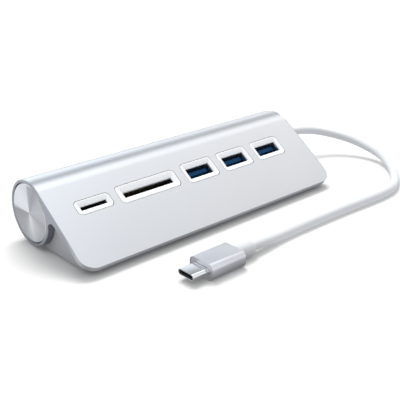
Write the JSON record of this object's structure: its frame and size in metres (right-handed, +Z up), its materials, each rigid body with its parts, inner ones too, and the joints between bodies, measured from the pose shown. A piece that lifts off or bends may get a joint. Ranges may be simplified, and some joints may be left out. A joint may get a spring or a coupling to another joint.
{
  "type": "usb hub",
  "caption": "Desktop USB hub and card reader: aluminium drum along the back, sloped face plate with flush ports, captive cable to a USB-C plug.",
  "frame": {"origin": "middle of the hub's footprint on the desk, under the rubber feet; the free cable and its plug don't count", "axes": "+X along the hub towards the end that the cable leaves, +Y towards the drum at the back, +Z up"},
  "size_m": [0.1803, 0.0813, 0.0276],
  "materials": {
    "anodised_plate": "bead-blasted, clear anodised",
    "spun_disc": "turned, with fine concentric lines and a bright chamfer",
    "plug_aluminium": "satin anodised",
    "base_plastic": "fine texture, light grey",
    "bezel_white": "satin white",
    "inner_plastic": "natural moulding",
    "foot_rubber": "matt grey",
    "board_laminate": "green solder mask",
    "chip_black": "moulded, matt",
    "capacitor_tan": "ceramic",
    "plated_steel": "nickel plated sheet",
    "polished_steel": "polished stainless",
    "spring_steel": "drawn wire",
    "tongue_blue": "moulded blue",
    "socket_black": "moulded black",
    "contact_gold": "gold flash",
    "cable_white": "smooth white jacket",
    "wire_red": "insulated wires"
  },
  "bodies": {
    "hub": {"housing": "anodised_plate", "end_disc_left": "spun_disc", "end_disc_right": "spun_disc", "end_plug_left": "inner_plastic", "end_plug_right": "inner_plastic", "base_cover": "base_plastic", "front_foot": "foot_rubber", "rear_foot": "foot_rubber", "microsd_bezel": "bezel_white", "sd_bezel": "bezel_white", "usb_bezel_1": "bezel_white", "usb_bezel_2": "bezel_white", "usb_bezel_3": "bezel_white", "port_carrier": "inner_plastic", "main_board": "board_laminate", "usb_shell_1": "plated_steel", "usb_shell_2": "plated_steel", "usb_shell_3": "plated_steel", "usb_tongue_1": "tongue_blue", "usb_tongue_2": "tongue_blue", "usb_tongue_3": "tongue_blue", "usb_contacts_1": "contact_gold", "usb_contacts_2": "contact_gold", "usb_contacts_3": "contact_gold", "sd_cover": "plated_steel", "sd_body": "socket_black", "sd_contacts": "contact_gold", "microsd_cover": "plated_steel", "microsd_body": "socket_black", "microsd_contacts": "contact_gold", "microsd_spring": "spring_steel", "hub_chip": "chip_black", "card_chip": "chip_black", "crystal_can": "plated_steel", "capacitors": "capacitor_tan", "cable_header": "inner_plastic", "board_screws": "plated_steel", "base_screws": "plated_steel", "cable_grommet": "cable_white", "cable_stub": "cable_white", "cable_clamp": "inner_plastic", "clamp_screws": "plated_steel", "inner_wires": "wire_red", "cable": "cable_white", "plug_collar": "cable_white", "plug_sleeve": "plug_aluminium", "plug_tube": "polished_steel", "plug_insert": "socket_black", "plug_contacts": "contact_gold", "plug_board": "board_laminate"},
    "card_ejector": {"microsd_ejector": "socket_black"}
  },
  "joints": [
    {"name": "ejector_slide", "type": "slide", "parent": "hub", "child": "card_ejector", "axis": [0, 0.5764, -0.8171], "range_m": [0, 0.004], "stiffness_N_per_m": 50, "deforming": ["microsd_spring"]}
  ]
}
